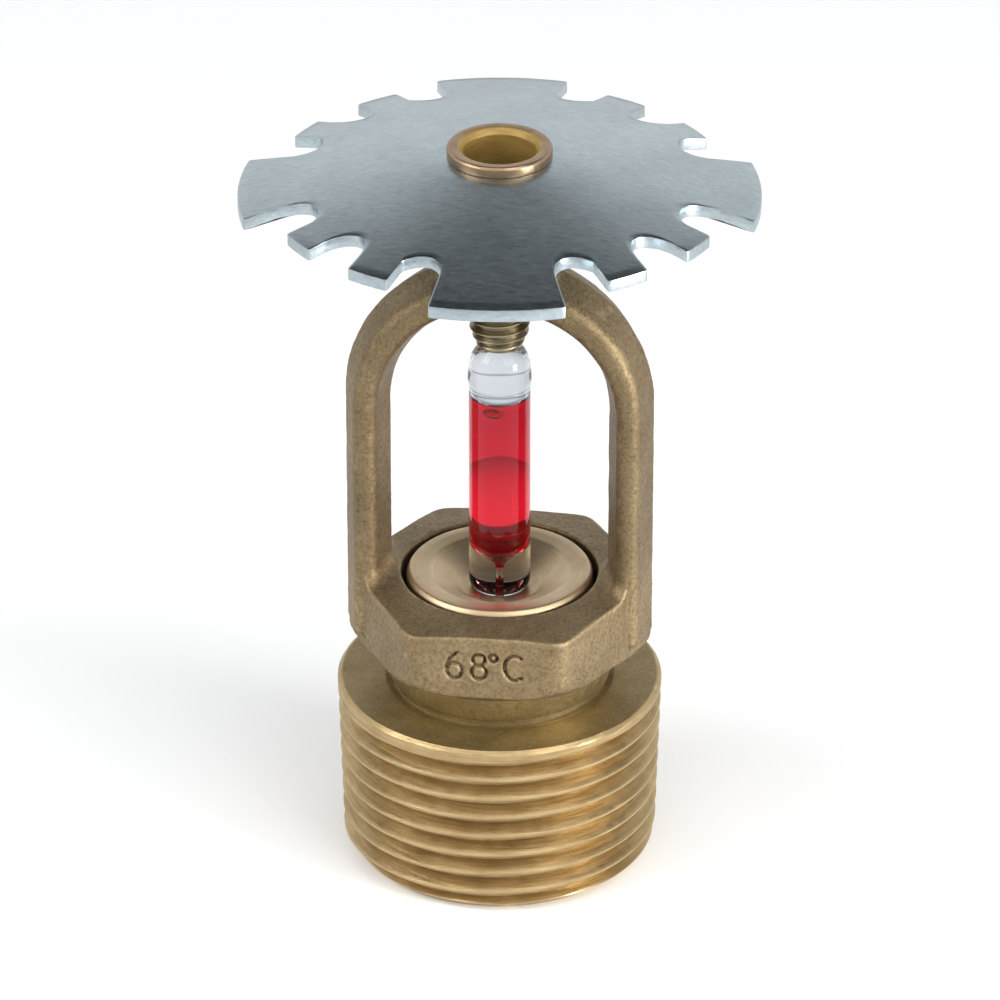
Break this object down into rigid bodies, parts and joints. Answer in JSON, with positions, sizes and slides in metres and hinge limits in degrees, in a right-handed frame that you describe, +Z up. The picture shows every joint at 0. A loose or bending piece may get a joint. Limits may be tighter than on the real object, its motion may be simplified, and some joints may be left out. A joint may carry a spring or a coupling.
{
  "type": "fire sprinkler head",
  "caption": "Upright glass-bulb fire sprinkler head: brass frame with taper pipe thread and wrench hexagon, bulb, button and spring seal, and notched dome deflector.",
  "frame": {"origin": "centre of the inlet end face, on the waterway axis", "axes": "+Z up the waterway axis to the deflector; the two frame arms stand in the XZ plane; two wrench flats face +Y and -Y"},
  "size_m": [0.042, 0.042, 0.0644],
  "materials": {
    "frame_brass": "sand cast, machined at the thread",
    "deflector_metal": "rolled sheet, satin",
    "bushing_bronze": "turned, polished",
    "screw_brass": "turned",
    "bulb_glass": "clear",
    "bulb_liquid": "clear red liquid",
    "button_bronze": "turned, satin",
    "spring_nickel": "rolled, bright",
    "seal_tape": "fluoropolymer film"
  },
  "bodies": {
    "frame_body": {"frame": "frame_brass", "deflector": "deflector_metal", "bushing": "bushing_bronze"},
    "load_stack": {"bulb_glass": "bulb_glass", "bulb_liquid": "bulb_liquid", "button": "button_bronze", "spring_washer": "spring_nickel", "seal_tape_upper": "seal_tape", "seal_tape_lower": "seal_tape"},
    "screw_body": {"compression_screw": "screw_brass"}
  },
  "joints": [
    {"name": "screw_turn", "type": "hinge", "parent": "load_stack", "child": "screw_body", "pos_m": [0, 0, 0.052], "axis": [0, 0, 1], "range_deg": [0, 1080]},
    {"name": "stack_rise", "type": "slide", "parent": "frame_body", "child": "load_stack", "axis": [0, 0, 1], "range_m": [0, 0.0024]}
  ],
  "couplings": [
    {"joint": "screw_turn", "follows": "stack_rise", "rad_per_m": 7854}
  ]
}
